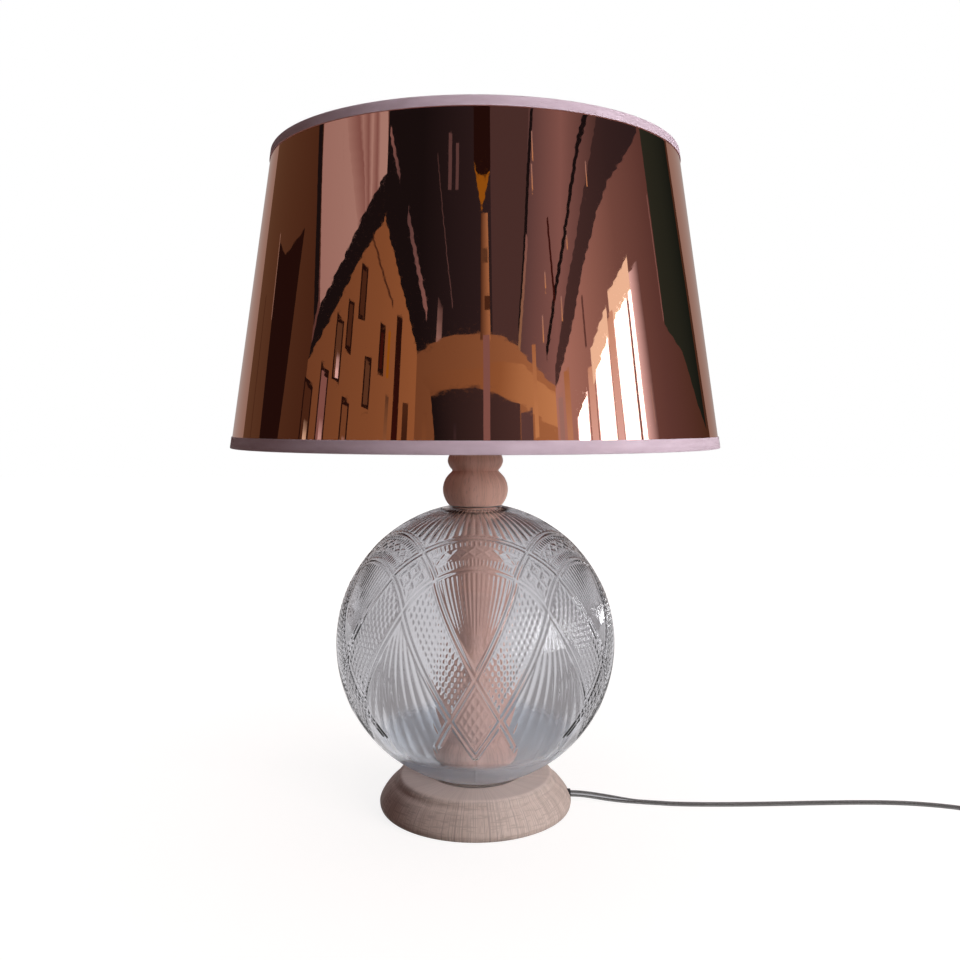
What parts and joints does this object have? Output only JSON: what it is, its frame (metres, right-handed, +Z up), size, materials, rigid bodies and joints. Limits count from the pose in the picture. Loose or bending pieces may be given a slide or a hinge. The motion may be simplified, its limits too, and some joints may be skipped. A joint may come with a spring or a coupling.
{
  "type": "globe table lamp",
  "caption": "Table lamp with a patterned glass globe on a turned wooden foot, a tapered copper foil shade, a screw-in bulb and a flat lead with rocker switch and plug.",
  "frame": {"origin": "on the table under the middle of the foot", "axes": "+Z up along the lamp's axis, +X towards the side where the flex leaves, -Y towards the picture's camera"},
  "size_m": [0.662, 0.3891, 0.4732],
  "materials": {
    "beech": "turned, bare, fine grain",
    "felt": "dense felt",
    "steel": "zinc plated",
    "brass": "plain",
    "nickel": "nickel plated",
    "gasket": "clear soft plastic",
    "pressed_glass": "clear pressed glass",
    "white_plastic": "moulded",
    "porcelain": "glazed insulator",
    "white_metal": "white coated wire",
    "copper_foil": "mirror copper foil laminate",
    "tape": "mauve woven tape",
    "black_plastic": "moulded",
    "bulb_glass": "clear blown glass",
    "filament": "phosphor coated",
    "flex": "clear soft plastic over tinned copper"
  },
  "bodies": {
    "lamp": {"wood_base": "beech", "felt_pad": "felt", "base_washer": "steel", "base_nut": "brass", "cord_bush": "white_plastic", "inner_flex": "flex", "threaded_tube": "steel", "lower_gasket": "gasket", "glass_globe": "pressed_glass", "upper_gasket": "gasket", "inner_column": "beech", "wood_neck": "beech", "holder_cap": "white_plastic", "holder_insert": "porcelain", "terminal_blocks": "brass", "centre_contact": "brass", "screw_shell": "brass", "holder_body": "white_plastic", "lower_ring": "white_plastic", "upper_ring": "white_plastic", "cord_lead": "flex", "switch_base": "white_plastic", "switch_cover": "white_plastic", "switch_terminals": "brass", "switch_contacts": "brass", "switch_screws": "steel", "cord_tail": "flex", "cord_coil": "flex", "cord_tie": "black_plastic", "cord_end": "flex", "plug_body": "white_plastic", "plug_pins": "nickel", "pin_sleeves": "black_plastic"},
    "shade": {"fitter_ring": "white_metal", "fitter_spokes": "white_metal", "bottom_wire": "white_metal", "top_wire": "white_metal", "shade_skin": "copper_foil", "bottom_trim": "tape", "top_trim": "tape"},
    "bulb_tip": {"bulb_contact": "steel", "bulb_insulator": "black_plastic"},
    "bulb": {"bulb_cap": "nickel", "bulb_glass": "bulb_glass", "bulb_stem": "bulb_glass", "filament_frame": "steel", "filaments": "filament"},
    "rocker": {"switch_rocker": "white_plastic", "rocker_bridge": "brass"}
  },
  "joints": [
    {"name": "switch_tip", "type": "hinge", "parent": "lamp", "child": "rocker", "pos_m": [0.392, -0.094, 0.0112], "axis": [1, 0, 0], "range_deg": [0, 16]},
    {"name": "shade_turn", "type": "hinge", "parent": "lamp", "child": "shade", "pos_m": [0, 0, 0.30119], "axis": [0, 0, 1], "continuous": true},
    {"name": "bulb_rise", "type": "slide", "parent": "lamp", "child": "bulb_tip", "axis": [0, 0, 1], "range_m": [0, 0.0127]},
    {"name": "bulb_screw", "type": "hinge", "parent": "bulb_tip", "child": "bulb", "pos_m": [0, 0, 0.3], "axis": [0, 0, 1], "range_deg": [0, 1262]}
  ],
  "couplings": [
    {"joint": "bulb_screw", "follows": "bulb_rise", "rad_per_m": 1730.9}
  ]
}
